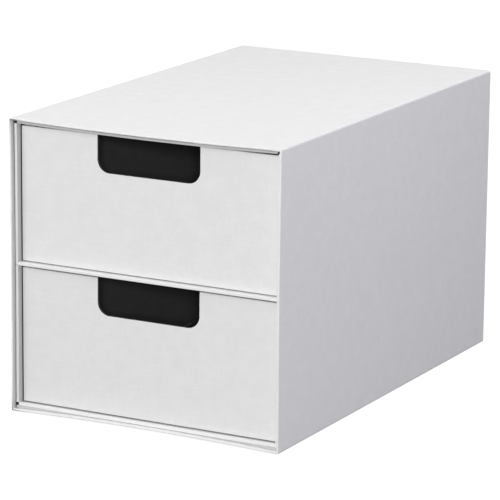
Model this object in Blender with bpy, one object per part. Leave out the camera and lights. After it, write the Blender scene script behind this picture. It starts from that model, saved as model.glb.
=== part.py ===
# Miniature chest of two drawers, made of paper-covered board.
#
# Three kinds of folded board work stand inside one another:
# - the casing, a square tube of four boards hinged along its outer folds, closed by a back board;
# - the bays: a sleeve of four boards hinged along its inner folds, whose top is the shelf between the
#   drawers, and three more boards hinged in the same way that stand on it round the upper drawer;
# - two drawers, each a tray of four folded walls round a base, with a finger cut-out in its front.
#
# Lengths are in metres. The front faces -Y, +X is the chest's right side and +Z is up.
# The origin is the middle of the underside.

import math

import bmesh
import bpy
from mathutils import Vector

# Casing
casing_width = 0.230
casing_depth = 0.366
casing_height = 0.228
casing_board = 0.0018
casing_fold_radius = 0.0012
back_board = 0.0019

# Bays
bay_board = 0.0023
bay_recess = 0.0035
bay_lift = 0.0015
lower_bay_height = 0.1088
bay_edge_radius = 0.0008

# Drawers
drawer_board = 0.0020
drawer_recess = 0.0090
drawer_side_clearance = 0.0010
drawer_top_clearance = 0.0022
drawer_front_lift = 0.0004
drawer_fold_radius = 0.0008

# Finger cut-out in each drawer front, open at the top
cutout_width = 0.087
cutout_depth = 0.0290
cutout_corner_radius = 0.010

# Fits and edges
board_gap = 0.0003
running_gap = 0.0003
board_edge_radius = 0.0004

# Facets of the rounded forms
fold_segments = 6
edge_segments = 2
corner_segments = 10

# Cover papers as linear colours, with their roughness
casing_paper = (0.80, 0.80, 0.805)
bay_paper = (0.78, 0.78, 0.785)
drawer_paper = (0.76, 0.76, 0.765)
paper_roughness = 0.75

# The four boards of a tube that lies along Y, a quarter turn about Y apart
tube_sides = ("top", "right_side", "bottom", "left_side")

# The four walls of a tray that stands along Z, a quarter turn about Z apart
tray_sides = ("front", "right_side", "back", "left_side")

quarter_turn = math.radians(90)
half_turn = math.radians(180)
smooth_angle = math.radians(30)

# A face lies in the board's plane, or stands square to it, by how far its normal follows the thickness
broad_face_share = 0.99
edge_face_share = 0.1

# A bevel's profile as a quarter circle
round_profile_share = 0.5


def clear_scene():
    """Removes whatever the file opened with."""
    for item in list(bpy.data.objects):
        bpy.data.objects.remove(item, do_unlink=True)


def paper(name, colour):
    """A matt cover paper."""
    material = bpy.data.materials.new(name)
    material.use_nodes = True
    shader = material.node_tree.nodes["Principled BSDF"]
    shader.inputs["Base Color"].default_value = (*colour, 1)
    shader.inputs["Roughness"].default_value = paper_roughness
    shader.inputs["Metallic"].default_value = 0
    material.diffuse_color = (*colour, 1)
    return material


def rectangle(width, length):
    """A board's outline, centred in x and running up from y = 0."""
    half = width / 2
    return [(-half, 0), (half, 0), (half, length), (-half, length)]


def arc(centre, radius, start, end):
    """Points along an arc between two angles, ends included."""
    points = []
    for step in range(corner_segments + 1):
        angle = start + (end - start) * step / corner_segments
        points.append((centre[0] + radius * math.cos(angle), centre[1] + radius * math.sin(angle)))
    return points


def notched_rectangle(width, length, notch_width, notch_depth, corner_radius):
    """A drawer front's outline: a rectangle with a round-cornered notch in its upper edge."""
    half = width / 2
    half_notch = notch_width / 2
    radius = min(corner_radius, half_notch, notch_depth)
    floor = length - notch_depth
    right_corner = arc((half_notch - radius, floor + radius), radius, 0, -quarter_turn)
    left_corner = arc((radius - half_notch, floor + radius), radius, -quarter_turn, -half_turn)
    lower = [(-half, 0), (half, 0), (half, length), (half_notch, length)]
    return lower + right_corner + left_corner + [(-half_notch, length), (-half, length)]


def slab(outline, thickness):
    """A board with its outer face at z = 0 and its thickness below."""
    mesh = bmesh.new()
    face = mesh.faces.new([mesh.verts.new((x, y, 0)) for x, y in outline])
    inner = bmesh.ops.extrude_face_region(mesh, geom=[face])
    inner_verts = [item for item in inner["geom"] if isinstance(item, bmesh.types.BMVert)]
    bmesh.ops.translate(mesh, verts=inner_verts, vec=(0, 0, -thickness))
    bmesh.ops.recalc_face_normals(mesh, faces=mesh.faces)
    return mesh


def round_edges(mesh, edges, radius, segments):
    """Rounds the given edges to a quarter circle."""
    bmesh.ops.bevel(
        mesh, geom=edges, offset=radius, segments=segments, profile=round_profile_share, affect="EDGES")


def round_folds(mesh, width, radius):
    """Rounds the two long outer edges, where the cover paper runs on round the fold."""
    folds = []
    for edge in mesh.edges:
        at_side = all(math.isclose(abs(vert.co.x), width / 2, rel_tol=1e-4) for vert in edge.verts)
        at_outer_face = all(vert.co.z == 0 for vert in edge.verts)
        if at_side and at_outer_face:
            folds.append(edge)
    round_edges(mesh, folds, radius, fold_segments)


def cut_mitres(mesh, width):
    """Cuts both long edges back to the diagonal of the fold, half a gap short of it."""
    for side in (1, -1):
        outward = Vector((side, 0, -1)).normalized()
        corner = Vector((side * width / 2, 0, 0))
        cut_point = corner - outward * board_gap / 2
        geometry = mesh.verts[:] + mesh.edges[:] + mesh.faces[:]
        bmesh.ops.bisect_plane(mesh, geom=geometry, plane_co=cut_point, plane_no=outward, clear_outer=True)
        rim = [edge for edge in mesh.edges if edge.is_boundary]
        bmesh.ops.edgeloop_fill(mesh, edges=rim)


def ease_rims(mesh, radius):
    """Softens every rim between a broad face and an edge square to it, as paper turned over it does."""
    mesh.normal_update()
    rims = []
    for edge in mesh.edges:
        tilts = sorted(abs(face.normal.z) for face in edge.link_faces)
        if tilts[0] < edge_face_share and tilts[1] > broad_face_share:
            rims.append(edge)
    round_edges(mesh, rims, radius, edge_segments)


def finish_board(name, mesh, colour, location, rotation, parent=None):
    """Turns a board's mesh into a placed object with its own paper."""
    bmesh.ops.recalc_face_normals(mesh, faces=mesh.faces)
    data = bpy.data.meshes.new(name)
    mesh.to_mesh(data)
    mesh.free()
    data.shade_smooth()
    data.set_sharp_from_angle(angle=smooth_angle)
    data.materials.append(paper(name + "_paper", colour))
    board = bpy.data.objects.new(name, data)
    board.location = location
    board.rotation_euler = rotation
    board.parent = parent
    bpy.context.collection.objects.link(board)
    return board


def folded_board(outline, width, thickness, fold_radius):
    """A board of a tube or tray hinged along its outer folds."""
    mesh = slab(outline, thickness)
    round_folds(mesh, width, fold_radius)
    cut_mitres(mesh, width)
    ease_rims(mesh, board_edge_radius)
    return mesh


def plain_board(width, length, thickness, edge_radius):
    """A board with square ends and softened rims."""
    mesh = slab(rectangle(width, length), thickness)
    ease_rims(mesh, edge_radius)
    return mesh


def outward_offset(turns, half_across, half_along):
    """How far a tube's or tray's outer face lies from its middle after so many quarter turns."""
    return (half_along, half_across, half_along, half_across)[turns]


def build_casing():
    """The outer tube of four folded boards and the back board between them."""
    front = -casing_depth / 2
    for turns, side in enumerate(tube_sides):
        width = (casing_width, casing_height)[turns % 2]
        angle = turns * quarter_turn
        offset = outward_offset(turns, casing_width / 2, casing_height / 2)
        location = (offset * math.sin(angle), front, casing_height / 2 + offset * math.cos(angle))
        mesh = folded_board(rectangle(width, casing_depth), width, casing_board, casing_fold_radius)
        finish_board("casing_" + side, mesh, casing_paper, location, (0, angle, 0))

    margin = casing_board + board_gap
    back = plain_board(casing_width - 2 * margin, casing_height - 2 * margin, back_board, board_edge_radius)
    location = (0, casing_depth / 2, margin)
    finish_board("casing_back", back, casing_paper, location, (quarter_turn, 0, half_turn))


def bay_width():
    """Width inside both bays."""
    return casing_width - 2 * (casing_board + board_gap + bay_board)


def bay_levels(prefix):
    """Heights of a bay's floor and ceiling."""
    lower_floor = casing_board + bay_lift + bay_board
    lower_ceiling = lower_floor + lower_bay_height
    upper_ceiling = casing_height - casing_board - board_gap - bay_board
    if prefix == "lower":
        return lower_floor, lower_ceiling
    return lower_ceiling + bay_board, upper_ceiling


def add_bay_board(name, side, span, across, level):
    """One board of the bays that faces out to a side, with its outer face's middle at a place."""
    front = bay_recess - casing_depth / 2
    depth = casing_depth - bay_recess - back_board - board_gap
    mesh = plain_board(span, depth, bay_board, bay_edge_radius)
    angle = tube_sides.index(side) * quarter_turn
    finish_board(name, mesh, bay_paper, (across, front, level), (0, angle, 0))


def add_bay_sides(prefix, low, high):
    """The two upright boards of a bay, between two heights."""
    across = bay_width() / 2 + bay_board
    middle = (low + high) / 2
    add_bay_board(prefix + "_bay_right_side", "right_side", high - low, across, middle)
    add_bay_board(prefix + "_bay_left_side", "left_side", high - low, -across, middle)


def build_bays():
    """The boards round both bays; they meet along inner corners, so the outer corners stay open."""
    lower_floor, lower_ceiling = bay_levels("lower")
    upper_ceiling = bay_levels("upper")[1]
    corner_relief = board_gap / math.sqrt(2)
    side_joint = lower_ceiling - corner_relief
    span = bay_width() - 2 * corner_relief
    add_bay_board("lower_bay_bottom", "bottom", span, 0, lower_floor - bay_board)
    add_bay_board("upper_bay_top", "top", span, 0, upper_ceiling + bay_board)
    add_bay_board("bay_shelf", "top", bay_width() - 2 * board_gap, 0, lower_ceiling + bay_board)
    add_bay_sides("lower", lower_floor + corner_relief, side_joint)
    add_bay_sides("upper", side_joint + board_gap, upper_ceiling - corner_relief)


def build_drawer(prefix):
    """A tray of four folded walls round a base, carried by an empty at its underside's middle."""
    floor, ceiling = bay_levels(prefix)
    width = bay_width() - 2 * drawer_side_clearance
    height = ceiling - floor - running_gap - drawer_top_clearance
    depth = casing_depth - drawer_recess - back_board - running_gap
    middle_y = drawer_recess + depth / 2 - casing_depth / 2

    slide = bpy.data.objects.new(prefix + "_drawer_slide", None)
    slide.location = (0, middle_y, floor + running_gap)
    bpy.context.collection.objects.link(slide)

    for turns, side in enumerate(tray_sides):
        span = (width, depth)[turns % 2]
        lift = drawer_front_lift if side == "front" else 0
        outline = rectangle(span, height - lift)
        if side == "front":
            outline = notched_rectangle(span, height - lift, cutout_width, cutout_depth, cutout_corner_radius)
        angle = turns * quarter_turn
        offset = outward_offset(turns, width / 2, depth / 2)
        location = (offset * math.sin(angle), -offset * math.cos(angle), lift)
        mesh = folded_board(outline, span, drawer_board, drawer_fold_radius)
        rotation = (quarter_turn, 0, angle)
        finish_board(prefix + "_drawer_" + side, mesh, drawer_paper, location, rotation, slide)

    margin = drawer_board + board_gap
    base_depth = depth - 2 * margin
    base = plain_board(width - 2 * margin, base_depth, drawer_board, board_edge_radius)
    location = (0, -base_depth / 2, drawer_board)
    finish_board(prefix + "_drawer_base", base, drawer_paper, location, (0, 0, 0), slide)


clear_scene()
build_casing()
build_bays()
build_drawer("lower")
build_drawer("upper")
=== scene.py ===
# %% [markdown]
# # A miniature chest of drawers in paper-covered board
#
# The real chest is bookbinder's work: greyboard cut to size, folded up along paper hinges and covered
# with an embossed white paper. A thin casing holds two bays with a shelf between them, and a drawer with
# a finger cut-out runs in each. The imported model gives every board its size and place. This lesson
# gives them their paper: folds, rims, turned-in edges, linings and the slight bow of real board.

import math

import bmesh
import bpy
from mathutils import Matrix, Vector


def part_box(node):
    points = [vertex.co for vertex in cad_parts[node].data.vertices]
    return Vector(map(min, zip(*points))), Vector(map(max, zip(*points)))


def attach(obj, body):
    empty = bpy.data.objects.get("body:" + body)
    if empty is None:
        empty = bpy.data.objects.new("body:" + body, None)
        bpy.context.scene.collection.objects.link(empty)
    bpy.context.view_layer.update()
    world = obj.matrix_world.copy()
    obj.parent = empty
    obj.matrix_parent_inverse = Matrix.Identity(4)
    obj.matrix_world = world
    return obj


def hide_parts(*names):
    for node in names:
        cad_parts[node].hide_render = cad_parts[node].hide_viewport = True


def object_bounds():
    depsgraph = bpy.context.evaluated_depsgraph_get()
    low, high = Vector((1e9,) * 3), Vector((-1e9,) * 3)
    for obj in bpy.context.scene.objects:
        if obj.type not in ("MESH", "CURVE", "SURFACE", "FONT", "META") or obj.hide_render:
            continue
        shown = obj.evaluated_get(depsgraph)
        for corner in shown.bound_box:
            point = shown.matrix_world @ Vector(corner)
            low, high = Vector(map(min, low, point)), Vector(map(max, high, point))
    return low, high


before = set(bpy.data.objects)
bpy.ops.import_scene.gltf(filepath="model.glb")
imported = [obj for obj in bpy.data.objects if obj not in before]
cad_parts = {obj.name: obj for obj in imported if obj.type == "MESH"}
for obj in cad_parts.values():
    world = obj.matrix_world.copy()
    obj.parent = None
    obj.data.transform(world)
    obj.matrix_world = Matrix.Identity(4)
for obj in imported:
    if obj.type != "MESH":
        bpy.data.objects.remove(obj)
cad_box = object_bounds()
print("CAD box in metres:", [tuple(round(value, 4) for value in corner) for corner in cad_box])

# %% [markdown]
# ## Sizes
#
# Every board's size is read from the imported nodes, so the paper work fits if the chest's size changes.
# Only what a node's box can't tell gets a size here, such as a paper's thickness or the cut-outs.

# %% Read the boards' sizes
mm = 0.001
x_axis, y_axis, z_axis = range(3)


def board_thickness(node, axis):
    """How thick a board is, when it is thin along an axis."""
    low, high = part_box(node)
    return (high - low)[axis]


casing_low, casing_high = (Vector(corner) for corner in cad_box)
casing_size = casing_high - casing_low
chest_middle = (casing_low + casing_high) / 2
casing_board = board_thickness("casing_top", z_axis)
bay_board = board_thickness("upper_bay_top", z_axis)
drawer_board = board_thickness("upper_drawer_left_side", x_axis)
thicknesses = [round(size / mm, 2) for size in (casing_board, bay_board, drawer_board)]
print("Board thicknesses in mm:", thicknesses)

# %% [markdown]
# ## The camera
#
# The photo was taken with a long lens from about two and a half metres, to the right of the chest and
# a little above it. A long lens keeps the verticals nearly parallel. The camera's place, its azimuth
# and elevation and a small roll were fitted to the chest's corners in the photo.

# %% Place the camera
camera_azimuth = math.radians(28.022)
camera_elevation = math.radians(13.546)
camera_roll = math.radians(0.547)
camera_place = Vector((1.15363, -2.1815, 0.69662))
focal_length = 231.8
sensor_width = 36


def direction_of(azimuth, elevation):
    """A direction out of the chest. The azimuth turns from its front towards its right side."""
    return Vector((
        math.sin(azimuth) * math.cos(elevation),
        -math.cos(azimuth) * math.cos(elevation),
        math.sin(elevation)))


back = direction_of(camera_azimuth, camera_elevation)
level_right = Vector((0, 0, 1)).cross(back).normalized()
level_up = back.cross(level_right)
right = level_right * math.cos(camera_roll) + level_up * math.sin(camera_roll)
up = level_up * math.cos(camera_roll) - level_right * math.sin(camera_roll)
camera_turn = Matrix((right, up, back)).transposed()

bpy.ops.object.camera_add(location=camera_place, rotation=camera_turn.to_euler())
camera = bpy.context.object
camera.data.lens = focal_length
camera.data.sensor_width = sensor_width
bpy.context.scene.camera = camera
print("Camera distance in m:", round((camera_place - chest_middle).length, 3))

# %% [markdown]
# ## Helpers for modelling by hand
#
# Everything below starts as a block of board. These helpers add one at its place, pick faces or edges
# by where they are, and apply a modifier. An operator works on all that is selected, so each helper
# first deselects everything else.

# %% Add a block, pick its parts, apply a modifier
flat = 0.95
same_place = 0.01 * mm


def choose(piece):
    """Makes one piece the only selected one, and the active one."""
    bpy.ops.object.select_all(action="DESELECT")
    piece.select_set(True)
    bpy.context.view_layer.objects.active = piece


def block(name, low, high):
    """A block of board between two corners, with its place in its mesh."""
    bpy.ops.object.select_all(action="DESELECT")
    bpy.ops.mesh.primitive_cube_add(size=1, location=(low + high) / 2, scale=high - low)
    piece = bpy.context.object
    piece.name = name
    piece.data.name = name
    bpy.ops.object.transform_apply(location=True, rotation=True, scale=True)
    return piece


def near(value, target):
    """Whether two coordinates are the same place."""
    return abs(value - target) < same_place


def pick(domain, test):
    """In edit mode, selects only the faces or edges that pass a test."""
    bpy.ops.mesh.select_mode(type=domain)
    bpy.ops.mesh.select_all(action="DESELECT")
    mesh = bmesh.from_edit_mesh(bpy.context.object.data)
    mesh.normal_update()
    for item in (mesh.faces if domain == "FACE" else mesh.edges):
        if test(item):
            item.select_set(True)
    bmesh.update_edit_mesh(bpy.context.object.data)


def apply_modifier(piece, kind, **settings):
    """Adds a modifier with these settings and applies it."""
    choose(piece)
    bpy.ops.object.modifier_add(type=kind)
    modifier = piece.modifiers[-1]
    for name, value in settings.items():
        setattr(modifier, name, value)
    bpy.ops.object.modifier_apply(modifier=modifier.name)


# %% [markdown]
# ## Tubes
#
# The casing, the trays' walls and their linings are all tubes of one board or paper. A tube is made by
# deleting two opposite faces of a block and giving the other four a thickness with Solidify. A tube
# that will bow is subdivided first, because a flat wall can't bend without points between its edges.

# %% Fold a tube
def fold_tube(name, low, high, axis, thickness, cuts=0):
    """A square tube of board, open along an axis, with its thickness inside the block."""
    tube = block(name, low, high)
    bpy.ops.object.mode_set(mode="EDIT")
    pick("FACE", lambda face: abs(face.normal[axis]) > flat)
    bpy.ops.mesh.delete(type="FACE")
    if cuts:
        bpy.ops.mesh.select_all(action="SELECT")
        bpy.ops.mesh.subdivide(number_cuts=cuts)
    bpy.ops.object.mode_set(mode="OBJECT")
    apply_modifier(tube, "SOLIDIFY", thickness=thickness, offset=-1, use_even_offset=True, use_rim=True)
    return tube


# %% [markdown]
# Bevels round the long folds, where the cover paper runs on, and the rims, where it is turned in. A
# fold is found by its place on the block's edges. A rim is found by its two faces: one looks along the
# axis and the other doesn't.

# %% Round folds and rims
def bevel_picked(piece, test, radius, segments):
    """Rounds the edges of a piece that pass a test."""
    choose(piece)
    bpy.ops.object.mode_set(mode="EDIT")
    pick("EDGE", test)
    bpy.ops.mesh.bevel(offset=radius, segments=segments, affect="EDGES")
    bpy.ops.object.mode_set(mode="OBJECT")


def round_folds(piece, low, high, axis, radius, segments=5):
    """Rounds the four edges of the block that run along an axis."""
    others = [other for other in range(3) if other != axis]

    def at_corner(point):
        return all(near(point[other], low[other]) or near(point[other], high[other]) for other in others)

    bevel_picked(piece, lambda edge: all(at_corner(vert.co) for vert in edge.verts), radius, segments)


def round_rims(piece, axis, radius, segments=4, belongs=lambda point: True):
    """Rounds the edges between a face square to an axis and a face along it, where they belong."""
    def is_rim(edge):
        tilts = sorted(abs(face.normal[axis]) for face in edge.link_faces)
        meets = len(tilts) == 2 and tilts[0] < 1 - flat and tilts[1] > flat
        return meets and all(belongs(vert.co) for vert in edge.verts)

    bevel_picked(piece, is_rim, radius, segments)


# %% [markdown]
# ## The bow of real board
#
# Covered board never stays flat. In the photo the front edge of the casing's top sags about two
# millimetres between the sides, its bottom arches up a little more, and both sides lean in by less
# than one. Proportional editing could pull the boards by eye. Here a vertex group holds how much each
# point gives way, as weight painting would, and a Displace modifier moves the points by that share, so
# the bow stays exact and fades to nothing at the back. The upper bay's top board sags with the casing,
# and the arch lifts the lower bay's floor, with the drawer on it, by less than a millimetre.

# %% Bow a board
top_sag = 1.8 * mm
bottom_arch = 2.3 * mm
floor_lift = 0.8 * mm
casing_side_bow = 0.6 * mm
bay_side_bow = 0.35 * mm


def other_across(axis):
    """Of the axes across and up, the one that isn't given."""
    return x_axis if axis == z_axis else z_axis


def bow(piece, axis, distance, belongs):
    """Moves one wall of a tube along an axis, most at the middle of its front edge, and not at its ends."""
    across = other_across(axis)
    group = piece.vertex_groups.new(name="bow")
    for vertex in piece.data.vertices:
        if belongs(vertex.co):
            off_middle = (vertex.co[across] - chest_middle[across]) / (casing_size[across] / 2)
            along = (vertex.co.y - casing_low.y) / casing_size.y
            share = max(0, 1 - off_middle ** 2) * max(0, 1 - along) ** 2
            group.add([vertex.index], share, "REPLACE")
    apply_modifier(
        piece, "DISPLACE", direction="XYZ"[axis], strength=distance, mid_level=0, vertex_group="bow")
    piece.vertex_groups.remove(piece.vertex_groups["bow"])


# %% [markdown]
# ## Papers
#
# One cover paper goes over the whole chest. Its embossing is a fine linen: short threads along the
# board and across it. A picture of linen could be wrapped round each piece, but its seams would show at
# the folds. Noises that are fine along one axis and stretched along the others give such threads
# without a seam. They read Object coordinates, so the drawers keep their own linen when they slide.

# %% Make noises, sums and ranges
def stretched_noise(nodes, links, coordinates, axis, fine, coarse, detail=2):
    """A noise whose grains are fine along one axis and long along the other two."""
    scale = nodes.new("ShaderNodeMapping")
    scale.inputs["Scale"].default_value = [1 / fine if other == axis else 1 / coarse for other in range(3)]
    noise = nodes.new("ShaderNodeTexNoise")
    noise.inputs["Scale"].default_value = 1
    noise.inputs["Detail"].default_value = detail
    links.new(coordinates, scale.inputs["Vector"])
    links.new(scale.outputs["Vector"], noise.inputs["Vector"])
    return noise.outputs["Fac"]


def blend_numbers(nodes, links, operation, first, second):
    """A math node between two sockets, or a socket and a number."""
    node = nodes.new("ShaderNodeMath")
    node.operation = operation
    for socket, value in zip(node.inputs, (first, second)):
        if isinstance(value, (int, float)):
            socket.default_value = value
        else:
            links.new(value, socket)
    return node.outputs["Value"]


def map_range(nodes, links, value, source, target):
    """Carries a value over from one range to another."""
    node = nodes.new("ShaderNodeMapRange")
    for name, number in zip(("From Min", "From Max", "To Min", "To Max"), (*source, *target)):
        node.inputs[name].default_value = number
    links.new(value, node.inputs["Value"])
    return node.outputs["Result"]


# %% [markdown]
# Three stretched noises, one for each direction, are added up, so that the threads lie right on the
# top, the front and the sides alike. Raised threads are a little paler than the ground between them,
# and the paper's colour and roughness wander slightly over larger patches.

# %% Weave a paper
thread_pitch = 0.9 * mm
thread_length = 9 * mm
linen_depth = 0.05 * mm
thread_tone = 0.022
weave_range = (1.2, 1.8)
mottle_size = 14 * mm
mottle_range = (0.3, 0.7)
roughness_wander = 0.06
paper_specular = 0.3


def around(middle, share):
    """A range that reaches as far to both sides of its middle."""
    return middle - share, middle + share


def paper(name, colour, roughness, relief=1.0, wander=0.008):
    """A matt paper with a linen relief, and with a colour that wanders by a share."""
    material = bpy.data.materials.new(name)
    material.use_nodes = True
    nodes = material.node_tree.nodes
    links = material.node_tree.links
    shader = nodes["Principled BSDF"]
    shader.inputs["Specular IOR Level"].default_value = paper_specular
    coordinates = nodes.new("ShaderNodeTexCoord").outputs["Object"]

    weave = stretched_noise(nodes, links, coordinates, x_axis, thread_pitch, thread_length)
    for axis in (y_axis, z_axis):
        threads = stretched_noise(nodes, links, coordinates, axis, thread_pitch, thread_length)
        weave = blend_numbers(nodes, links, "ADD", weave, threads)
    bump = nodes.new("ShaderNodeBump")
    bump.inputs["Strength"].default_value = 1
    bump.inputs["Distance"].default_value = linen_depth * relief
    links.new(weave, bump.inputs["Height"])
    links.new(bump.outputs["Normal"], shader.inputs["Normal"])

    mottle = stretched_noise(nodes, links, coordinates, x_axis, mottle_size, mottle_size, detail=4)
    mottle_tone = map_range(nodes, links, mottle, mottle_range, around(1, wander))
    weave_tone = map_range(nodes, links, weave, weave_range, around(1, thread_tone * relief))
    tint = nodes.new("ShaderNodeVectorMath")
    tint.operation = "SCALE"
    tint.inputs[0].default_value = colour
    links.new(blend_numbers(nodes, links, "MULTIPLY", mottle_tone, weave_tone), tint.inputs["Scale"])
    links.new(tint.outputs["Vector"], shader.inputs["Base Color"])
    dullness = map_range(nodes, links, mottle, (0, 1), around(roughness, roughness_wander))
    links.new(dullness, shader.inputs["Roughness"])
    return material


# %% [markdown]
# The real paper is one and the same white. The lamps here don't light every face quite as the photo's
# did, so the casing, the drawers and the bays each have a tone of their own, which is painted light and
# shade. The lamps also reach further into the narrow recess round the drawers. Two greyer papers, for
# the strips that are turned in at the rims, are painted shade for the shade that is missing there. The
# drawers are lined with black, and deeper inside the casing and the bays the black is painted shade.

# %% Make the papers
# Painted light and shade: the three whites are one paper, in tones that make up for the lamps
cover_paper = paper("white_linen_cover_paper", (0.824, 0.824, 0.824), 0.68)
drawer_paper = paper("white_linen_drawer_paper", (0.776, 0.776, 0.776), 0.68)
sleeve_paper = paper("white_sleeve_paper", (0.832, 0.832, 0.832), 0.66, relief=0.6)
# Painted shade: a greyer paper for the turned-in strips and faces in the recess
greyer_shade_paper = paper("painted_shade_grey_paper", (0.57, 0.57, 0.57), 0.7, relief=0.6)
# The drawers' black lining, and also painted shade where the casing and the bays are black deep inside
lining_and_shade_paper = paper("black_lining_and_painted_shade_paper", (0.062, 0.062, 0.066), 0.72, relief=0.5, wander=0.06)
# Painted shade: a darker paper under the casing's top and on the lower bay's floor
darker_shade_paper = paper("painted_shade_dark_paper", (0.36, 0.36, 0.36), 0.7, relief=0.6)
papers_made = (cover_paper, drawer_paper, sleeve_paper, greyer_shade_paper, lining_and_shade_paper, darker_shade_paper)
print("Papers:", [material.name for material in papers_made])

# %% [markdown]
# ## Finishing a piece
#
# A board's broad faces should shade flat and its small rounds smooth. Smooth shading alone would tilt
# the broad faces' normals near each round, so a Weighted Normal modifier gives the larger face the say.
# The piece then gets its papers, rides on its body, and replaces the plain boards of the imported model.

# %% Finish a piece
smooth_angle = math.radians(40)
larger_face_weight = 100

# A piece with more than one paper lists them in this order. Black is the drawers' lining and also
# painted shade, and the two greyer papers are painted shade.
white, black, half_shade, shaded = range(4)


def finish_piece(piece, body, papers, nodes=(), paper_of=None):
    """Shades a piece, gives its faces their papers, and hands it to its body."""
    choose(piece)
    bpy.ops.object.shade_smooth_by_angle(angle=smooth_angle)
    apply_modifier(piece, "WEIGHTED_NORMAL", mode="FACE_AREA", weight=larger_face_weight, keep_sharp=True)
    for material in papers:
        piece.data.materials.append(material)
    if paper_of:
        for face in piece.data.polygons:
            face.material_index = paper_of(face.center, face.normal)
    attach(piece, body)
    if nodes:
        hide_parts(*nodes)
    size = [round(length / mm, 1) for length in piece.dimensions]
    print(piece.name, "has", len(piece.data.polygons), "faces and measures", size, "mm")


# %% [markdown]
# ## The casing
#
# The casing is one strip of paper-covered board folded into a tube, so no joint shows along its outer
# edges: the paper only turns over a small round. The paper is turned in over the rims as far as the
# bays' boards. Where it lies in shade under the top and at the sides it is greyer, which is painted
# shade. Behind it the inside is black, which is painted shade too and is what makes the open corners
# look black. Bisect cuts the tube there to change its paper.

# %% Choose the casing's papers
turn_in_margin = 0.1 * mm
least_inward = 0.35
slight_tilt = 0.1
bay_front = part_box("bay_shelf")[0].y
turn_in_end = bay_front - turn_in_margin


def bisect(piece, place_along):
    """Cuts a piece across, at a place along the chest, and keeps both parts."""
    choose(piece)
    bpy.ops.object.mode_set(mode="EDIT")
    bpy.ops.mesh.select_all(action="SELECT")
    bpy.ops.mesh.bisect(plane_co=(0, place_along, 0), plane_no=(0, 1, 0))
    bpy.ops.object.mode_set(mode="OBJECT")


def casing_paper_of(centre, normal):
    """Painted shade: black behind the turned-in paper, grey where it looks sideways or down; else white."""
    outwards = Vector((centre.x, 0, centre.z - chest_middle.z)).normalized()
    if outwards.dot(normal) > -least_inward:
        return white
    # Painted shade: black where the casing's inside lies deep behind the turned-in paper
    if centre.y > turn_in_end and abs(normal.y) < slight_tilt:
        return black
    if normal.z > slight_tilt:
        return white
    # Painted shade: darker grey under the top, lighter grey at the sides
    return shaded if normal.z < -slight_tilt else half_shade


# %% [markdown]
# It could be four blocks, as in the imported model, but a joint would then show at every fold, so it is
# one tube. The rims are rounded more on the inside, where the paper is pulled over the cut edge. The
# right side's inner rim is crisper, because the photo shows it as a narrow bright line. It is rounded
# first, so that the wider round skips it.

# %% Fold the casing
board_cuts = 15
casing_fold_radius = 1.7 * mm
right_rim_radius = 0.4 * mm
inner_rim_radius = 1.0 * mm
outer_rim_radius = 0.3 * mm


def on_right_inner_side(point):
    """Whether a point of the casing lies on the inner face of its right side."""
    return near(point.x, casing_high.x - casing_board)


def on_inner_side(point):
    """Whether a point of the casing is nearer to its inner faces than to its outer ones."""
    depths = (casing_high.x - abs(point.x), point.z - casing_low.z, casing_high.z - point.z)
    return min(depths) > casing_board / 2


casing = fold_tube("casing_tube", casing_low, casing_high, y_axis, casing_board, cuts=board_cuts)
round_folds(casing, casing_low, casing_high, y_axis, casing_fold_radius)
round_rims(casing, y_axis, right_rim_radius, belongs=on_right_inner_side)
round_rims(casing, y_axis, inner_rim_radius, segments=6, belongs=on_inner_side)
round_rims(casing, y_axis, outer_rim_radius, segments=3)
bisect(casing, turn_in_end)
bow(casing, z_axis, -top_sag, lambda point: point.z > chest_middle.z)
bow(casing, z_axis, bottom_arch, lambda point: point.z < chest_middle.z)
bow(casing, x_axis, -casing_side_bow, lambda point: point.x > casing_high.x - 2 * casing_board)
bow(casing, x_axis, casing_side_bow, lambda point: point.x < casing_low.x + 2 * casing_board)
finish_piece(
    casing, "casing", [cover_paper, lining_and_shade_paper, greyer_shade_paper, darker_shade_paper],
    ["casing_top", "casing_bottom", "casing_left_side", "casing_right_side"], casing_paper_of)

# %% [markdown]
# The back board is set inside the tube's rear rim, with its own paper turned over its edges. A hair's
# breadth of shadow stays all round it.

# %% Set in the back board
back_rim_radius = 0.6 * mm

back_board = block("casing_back_board", *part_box("casing_back"))
round_rims(back_board, y_axis, back_rim_radius)
finish_piece(back_board, "casing", [cover_paper], ["casing_back"])

# %% [markdown]
# ## The boards round the bays
#
# The lower bay is a sleeve of four boards that are hinged along their inner corners, and its top is the
# shelf between the drawers. Three more boards stand on it round the upper bay. Each board is a block
# that is cut across, so that it can bow, with its rims rounded. Only the side towards the bay is
# papered, and that paper ends a little way in. The bare board, at its ends, on its outer face and deep
# in the bay, is black, and much of the paper is greyer: both are painted shade.

# %% Make a board of a bay
bay_rim_radius = 0.5 * mm
right_bay_rim_radius = 0.25 * mm
bay_shade_start = 3.0 * mm
bay_turn_in = 5.8 * mm
thin_axes = {"top": z_axis, "bottom": z_axis, "left_side": x_axis, "right_side": x_axis, "shelf": z_axis}


def cut_across(piece, axis, cuts):
    """Cuts a piece across all its edges that run along an axis."""
    def runs_along(edge):
        run = (edge.verts[1].co - edge.verts[0].co).normalized()
        return abs(run[axis]) > flat

    choose(piece)
    bpy.ops.object.mode_set(mode="EDIT")
    pick("EDGE", runs_along)
    bpy.ops.mesh.subdivide(number_cuts=cuts)
    bpy.ops.object.mode_set(mode="OBJECT")


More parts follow.
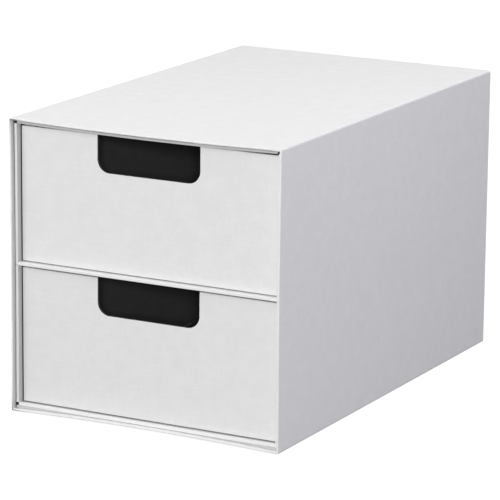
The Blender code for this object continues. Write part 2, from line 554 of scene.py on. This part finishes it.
def bay_paper_of(side, centre, normal):
    """Painted shade: black on ends, outer face and deep in the bay, greyer in shade; white in front."""
    thin = thin_axes[side]
    outward = -1 if side in ("bottom", "left_side") else 1
    depth = centre.y - bay_front
    is_end = abs(normal[other_across(thin)]) > flat
    is_outer = side != "shelf" and normal[thin] * outward > flat
    is_broad = abs(normal[thin]) > flat
    # Painted shade: black on the ends, the outer face and deep in the bay
    if is_end or is_outer or (is_broad and depth > bay_turn_in):
        return black
    # Painted shade: greyer on the top board, the sides' inner faces and further in, darker on the lower
    # floor
    if side == "top" or (is_broad and (thin == x_axis or depth > bay_shade_start)):
        return shaded if side == "bottom" else half_shade
    return white


def make_bay_board(node, low, high):
    """One board of a bay, with its papers."""
    side = node.split("bay_")[-1]
    board = block(node + "_board", low, high)
    cut_across(board, other_across(thin_axes[side]), board_cuts)
    cut_across(board, y_axis, board_cuts)
    round_rims(board, y_axis, right_bay_rim_radius if side == "right_side" else bay_rim_radius)
    bisect(board, bay_front + bay_shade_start)
    bisect(board, bay_front + bay_turn_in)
    for material in (sleeve_paper, lining_and_shade_paper, greyer_shade_paper, darker_shade_paper):
        board.data.materials.append(material)
    for face in board.data.polygons:
        face.material_index = bay_paper_of(side, face.center, face.normal)
    return board


# %% [markdown]
# Where two boards meet, their thickness leaves a small square hole at the outer corner, which shows
# black in the photo. The upper bay's top board stops a little short of the sides, so its holes are
# wider than the one at the bottom left. At the bottom right the photo shows no hole, so the bottom
# board runs on under the side there. The boards of a bay are joined to one piece. The hinge gaps of the
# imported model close, apart from a hairline at the shelf's ends and one under the upper sides.

# %% Put the bays together
joint_gap = 0.15 * mm
shelf_wrap = 0.3 * mm
top_left_opening = 0.3 * mm
top_right_opening = 0.8 * mm
ceiling_margin = 0.5 * mm

bay_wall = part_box("lower_bay_right_side")[0].x
bay_outside = bay_wall + bay_board
bay_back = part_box("bay_shelf")[1].y
lower_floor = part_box("lower_bay_bottom")[1].z + floor_lift
lower_ceiling, upper_floor = (corner.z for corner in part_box("bay_shelf"))
upper_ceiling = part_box("upper_bay_top")[0].z
shelf_end = bay_wall - joint_gap
top_end = bay_wall - top_right_opening
upper_side_foot = lower_ceiling + joint_gap


def corners(x0, z0, x1, z1):
    """A bay board's corners from its places across and up."""
    return Vector((x0, bay_front, z0)), Vector((x1, bay_back, z1))


def join_bay(name, boxes):
    """The boards of a bay, given by node and corners, as one piece that bows with the casing."""
    boards = [make_bay_board(node, *box) for node, box in boxes.items()]
    choose(boards[0])
    for board in boards:
        board.select_set(True)
    bpy.ops.object.join()
    piece = boards[0]
    piece.name = name
    piece.data.name = name
    bow(piece, z_axis, -top_sag, lambda point: point.z > upper_ceiling - ceiling_margin)
    bow(piece, x_axis, -bay_side_bow, lambda point: point.x > bay_wall and point.z < upper_ceiling)
    bow(piece, x_axis, bay_side_bow, lambda point: point.x < -bay_wall and point.z < upper_ceiling)
    finish_piece(piece, "casing", [], boxes)


join_bay("lower_bay_sleeve", {
    "lower_bay_bottom": corners(-bay_wall, lower_floor - bay_board, bay_outside, lower_floor),
    "lower_bay_left_side": corners(-bay_outside, lower_floor, -bay_wall, lower_ceiling),
    "lower_bay_right_side": corners(bay_wall, lower_floor, bay_outside, lower_ceiling),
    "bay_shelf": corners(-shelf_end, lower_ceiling - shelf_wrap, shelf_end, upper_floor),
})
join_bay("upper_bay_sleeve", {
    "upper_bay_top": corners(top_left_opening - bay_wall, upper_ceiling, top_end, upper_ceiling + bay_board),
    "upper_bay_left_side": corners(-bay_outside, upper_side_foot, -bay_wall, upper_ceiling),
    "upper_bay_right_side": corners(bay_wall, upper_side_foot, bay_outside, upper_ceiling),
})
bay_heights = [round(size / mm, 1) for size in (lower_ceiling - lower_floor, upper_ceiling - upper_floor)]
print("Bay heights in mm:", bay_heights)

# %% [markdown]
# A packing strip lifts the lower bay off the casing's bottom board. It lies a hair behind the bay's
# front edge and shows as a pale band in the shade. Its grey paper is painted shade.

# %% Lay the packing strip
packing_setback = 0.3 * mm
packing_rim_radius = 0.3 * mm

packing_low = Vector((-bay_outside, bay_front + packing_setback, casing_low.z + casing_board))
packing_high = Vector((bay_outside, bay_back, lower_floor - bay_board))
packing = block("packing_strip", packing_low, packing_high)
round_rims(packing, y_axis, packing_rim_radius)
# Painted shade: the strip's grey paper
finish_piece(packing, "casing", [greyer_shade_paper])

# %% [markdown]
# ## The drawers
#
# A drawer's four walls are one strip folded round the base, like the casing but standing up. The
# finger cut-out is taken out of the front wall with a rounded cutter: a block whose two lower edges
# are bevelled to the corner radius before the Boolean. The front could be drawn as an outline instead,
# but then the lining would need the same outline again, while one cutter fits both.

# %% Cut for the fingers
cutout_width = 87 * mm
cutout_depth = 29 * mm
cutout_corner_radius = 10 * mm
cut_overrun = 5 * mm


def finger_cutter(front_face, top):
    """A cutter for the cut-out in a wall whose outer face and upper edge are given."""
    low = Vector((-cutout_width / 2, front_face - cut_overrun, top - cutout_depth))
    high = Vector((cutout_width / 2, front_face + drawer_board + cut_overrun, top + cut_overrun))

    def is_lower_corner(edge):
        ends = [vert.co for vert in edge.verts]
        at_corners = all(near(end.z, low.z) and near(abs(end.x), high.x) for end in ends)
        return at_corners and not near(ends[0].y, ends[1].y)

    cutter = block("finger_cutter", low, high)
    bevel_picked(cutter, is_lower_corner, cutout_corner_radius, 14)
    return cutter


def cut_fingers(piece, front_face, top):
    """Takes the finger cut-out out of a piece."""
    cutter = finger_cutter(front_face, top)
    apply_modifier(piece, "BOOLEAN", operation="DIFFERENCE", solver="EXACT", object=cutter)
    bpy.data.objects.remove(cutter)


# %% [markdown]
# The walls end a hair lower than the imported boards, as the gap of shade above them in the photo needs,
# while the cut-out's own edge stays where it is. The board's thickness shows in the cut-out and is
# black like the lining. The lower drawer stands on the bay floor that the arch has lifted.

# %% Fold a tray's walls
drawer_fold_radius = 0.5 * mm
drawer_rim_radius = 0.35 * mm
rim_trim = 0.4 * mm
rim_angle = math.radians(50)
cut_side_margin = 0.1 * mm
cut_depth_margin = 1 * mm
most_frontal = 0.6
tray_lift = {"lower": floor_lift, "upper": 0}
drawer_sides = ("front", "back", "left_side", "right_side")


def tray_walls(level):
    """The folded walls of a drawer. Returns the corners of the block that they are folded from."""
    side_low, side_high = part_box(level + "_drawer_left_side")
    front_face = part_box(level + "_drawer_front")[0].y
    back_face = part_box(level + "_drawer_back")[1].y
    low = Vector((side_low.x, front_face, side_low.z + tray_lift[level]))
    high = Vector((-side_low.x, back_face, side_high.z - rim_trim))
    walls = fold_tube(level + "_drawer_tray", low, high, z_axis, drawer_board)
    round_folds(walls, low, high, z_axis, drawer_fold_radius)
    cut_fingers(walls, low.y, side_high.z)
    apply_modifier(
        walls, "BEVEL", width=drawer_rim_radius, segments=3, limit_method="ANGLE", angle_limit=rim_angle)

    def paper_of(centre, normal):
        in_front = centre.y < low.y + drawer_board
        between_sides = abs(centre.x) < cutout_width / 2 + cut_side_margin
        above_floor = centre.z > side_high.z - cutout_depth - cut_depth_margin
        faces_cut = abs(normal.y) < most_frontal
        return black if in_front and between_sides and above_floor and faces_cut else white

    finish_piece(
        walls, level + "_drawer", [drawer_paper, lining_and_shade_paper],
        [level + "_drawer_" + side for side in drawer_sides], paper_of)
    return low, high


# %% [markdown]
# The lining is a thin black paper, glued inside the walls up to three millimetres under the rim, so a
# white band of the turned-in cover paper shows above it. It has the same cut-out as the front. The
# base is a board of its own, black above and white below.

# %% Line a tray and lay its base
lining_thickness = 0.25 * mm
lining_fold_radius = 0.2 * mm
lining_clearance = 0.03 * mm
lining_below_rim = 3 * mm
base_rim_radius = 0.3 * mm
least_upward = 0.5


def base_paper_of(centre, normal):
    """Black above and white below."""
    return black if normal.z > least_upward else white


def line_tray(level, low, high):
    """Black paper round the inside of a tray, and its base."""
    lift = Vector((0, 0, tray_lift[level]))
    base_low, base_high = (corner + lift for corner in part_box(level + "_drawer_base"))
    margin = drawer_board + lining_clearance
    inner_low = Vector((low.x + margin, low.y + margin, base_high.z + lining_clearance))
    inner_high = Vector((high.x - margin, high.y - margin, high.z - lining_below_rim))
    lining = fold_tube(level + "_drawer_lining", inner_low, inner_high, z_axis, lining_thickness)
    round_folds(lining, inner_low, inner_high, z_axis, lining_fold_radius, segments=3)
    cut_fingers(lining, low.y, high.z + rim_trim)
    finish_piece(lining, level + "_drawer", [lining_and_shade_paper])

    base = block(level + "_drawer_floor", base_low, base_high)
    round_rims(base, z_axis, base_rim_radius)
    finish_piece(
        base, level + "_drawer", [drawer_paper, lining_and_shade_paper],
        [level + "_drawer_base"], base_paper_of)


for level in ("lower", "upper"):
    tray_low, tray_high = tray_walls(level)
    line_tray(level, tray_low, tray_high)

# %% [markdown]
# ## The floor
#
# The photo's background is pure white. A white floor would throw light back up at the chest, so the
# floor is dark grey, with a glow just short of white where it is seen directly or in gloss. With the
# light that falls on it that makes white, yet the chest darkens it a little where it stands.

# %% Lay the floor
floor_size = 12.0
floor_glow = 0.97
floor_colour = (0.16, 0.16, 0.16)


def seen_directly(nodes, links):
    """1 for what the camera sees directly, in a mirror or through glass, and 0 for other rays."""
    rays = nodes.new("ShaderNodeLightPath").outputs
    seen = blend_numbers(nodes, links, "MAXIMUM", rays["Is Camera Ray"], rays["Is Glossy Ray"])
    return blend_numbers(nodes, links, "MAXIMUM", seen, rays["Is Transmission Ray"])


bpy.ops.object.select_all(action="DESELECT")
bpy.ops.mesh.primitive_plane_add(size=floor_size)
floor = bpy.context.object
floor.name = "floor"
floor_material = bpy.data.materials.new("pale_floor")
floor_material.use_nodes = True
floor_nodes = floor_material.node_tree.nodes
floor_links = floor_material.node_tree.links
floor_shader = floor_nodes["Principled BSDF"]
floor_shader.inputs["Base Color"].default_value = (*floor_colour, 1)
floor_shader.inputs["Roughness"].default_value = 1
floor_shader.inputs["Specular IOR Level"].default_value = 0
floor_shader.inputs["Emission Color"].default_value = (1, 1, 1, 1)
floor_seen = seen_directly(floor_nodes, floor_links)
glow = blend_numbers(floor_nodes, floor_links, "MULTIPLY", floor_seen, floor_glow)
floor_links.new(glow, floor_shader.inputs["Emission Strength"])
floor.data.materials.append(floor_material)
print("Floor side in m:", floor_size)

# %% [markdown]
# ## The sky
#
# The world is white where it is seen directly or in gloss, and a weak grey for all other rays, so the
# white background puts hardly any extra light on the chest.

# %% Set the world
sky_strength = 0.12

world = bpy.data.worlds.new("studio")
bpy.context.scene.world = world
world.use_nodes = True
world_nodes = world.node_tree.nodes
world_links = world.node_tree.links
sky = world_nodes["Background"]
sky.inputs["Color"].default_value = (1, 1, 1, 1)
sky_seen = seen_directly(world_nodes, world_links)
white_part = blend_numbers(world_nodes, world_links, "MULTIPLY", sky_seen, 1 - sky_strength)
strength = blend_numbers(world_nodes, world_links, "ADD", white_part, sky_strength)
world_links.new(strength, sky.inputs["Strength"])
print("Strength of the world's light:", sky_strength)

# %% [markdown]
# ## Light
#
# The photo is lit softly from all round. Its fronts are bright without a shadow from the casing's
# rim, so one lamp stands close to the camera's line of sight, and a large panel fills in from the left.
# A weak panel high on the left lights the rims that face up. Two slightly blue ones light the right
# side but not the inner faces of the recess: a large one from behind, and a small near one whose light
# falls off towards the table. The blue ones reach the top too, which is neutral in the photo, so the
# panel right above it is a little warm. A low panel behind the chest keeps its back from going dark.

# %% Set the lights
plain_white = (1.0, 1.0, 1.0)
warm_white = (1.0, 1.0, 0.95)
cool_white = (0.87, 0.87, 1.0)

# Name, azimuth and elevation in degrees, distance and size in metres, power in watts and colour
panels = [
    ("camera_side_lamp", 28, 13.7, 3.1, 0.2, 50.5, plain_white),
    ("front_left_panel", -30, 24, 1.8, 0.8, 9.6, plain_white),
    ("high_left_panel", -60, 40, 2.2, 1.0, 6.7, plain_white),
    ("top_panel", 0, 90, 2.0, 1.0, 14.2, warm_white),
    ("right_back_panel", 118, 45, 2.2, 1.0, 7.84, cool_white),
    ("near_right_panel", 86, 34, 1.02, 0.4, 1.74, cool_white),
    ("low_back_panel", 175, 8, 2.2, 0.5, 6, plain_white),
]


def light_panel(name, azimuth, elevation, distance, size, power, colour):
    """A square area light that faces the chest from a direction."""
    direction = direction_of(math.radians(azimuth), math.radians(elevation))
    facing = (-direction).to_track_quat("-Z", "Y").to_euler()
    bpy.ops.object.light_add(type="AREA", location=chest_middle + distance * direction, rotation=facing)
    light = bpy.context.object
    light.name = name
    light.data.shape = "SQUARE"
    light.data.size = size
    light.data.energy = power
    light.data.color = colour


for panel in panels:
    light_panel(*panel)
print("Lights:", [panel[0] for panel in panels])

# %% [markdown]
# ## The view transform
#
# The view transform is Standard, so a colour renders as it is written.

# %% Set the view transform
bpy.context.scene.view_settings.view_transform = "Standard"
